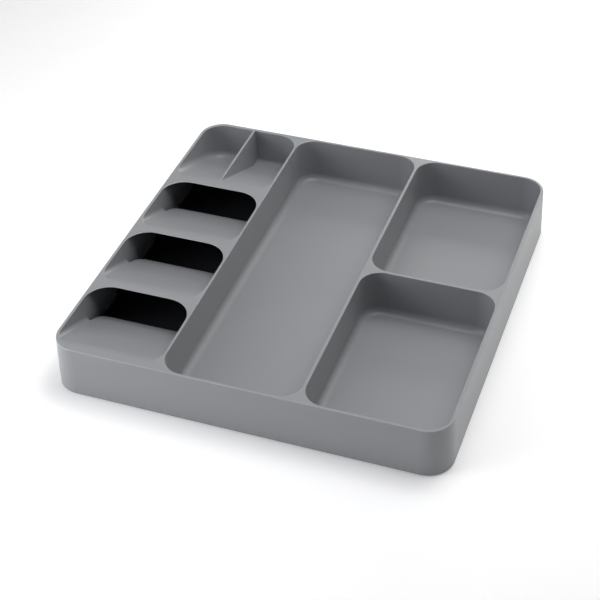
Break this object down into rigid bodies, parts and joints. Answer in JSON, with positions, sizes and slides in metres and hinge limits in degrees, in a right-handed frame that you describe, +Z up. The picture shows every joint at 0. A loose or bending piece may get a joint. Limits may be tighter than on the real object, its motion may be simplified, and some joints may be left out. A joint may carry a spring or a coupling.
{
  "type": "drawer organizer insert",
  "caption": "Moulded drawer insert with tiered cutlery ramps, a split bin, a long utensil bin and gadget bins, on soft feet.",
  "frame": {"origin": "on the drawer's floor, at the centre of the footprint", "axes": "+X to the right, +Y to the back of the drawer, +Z up; the tiered cutlery ramps are on the left"},
  "size_m": [0.386, 0.4, 0.054],
  "materials": {
    "grey_polypropylene": "fine satin moulded texture",
    "black_polypropylene": "matte moulded",
    "soft_foot": "matte soft elastomer"
  },
  "bodies": {
    "root": {"tray_body": "grey_polypropylene", "base_cover": "black_polypropylene", "foot_front_left": "soft_foot", "foot_middle_left": "soft_foot", "foot_rear_left": "soft_foot", "foot_front_centre": "soft_foot", "foot_rear_centre": "soft_foot", "foot_front_right": "soft_foot", "foot_middle_right": "soft_foot", "foot_rear_right": "soft_foot"}
  },
  "joints": []
}
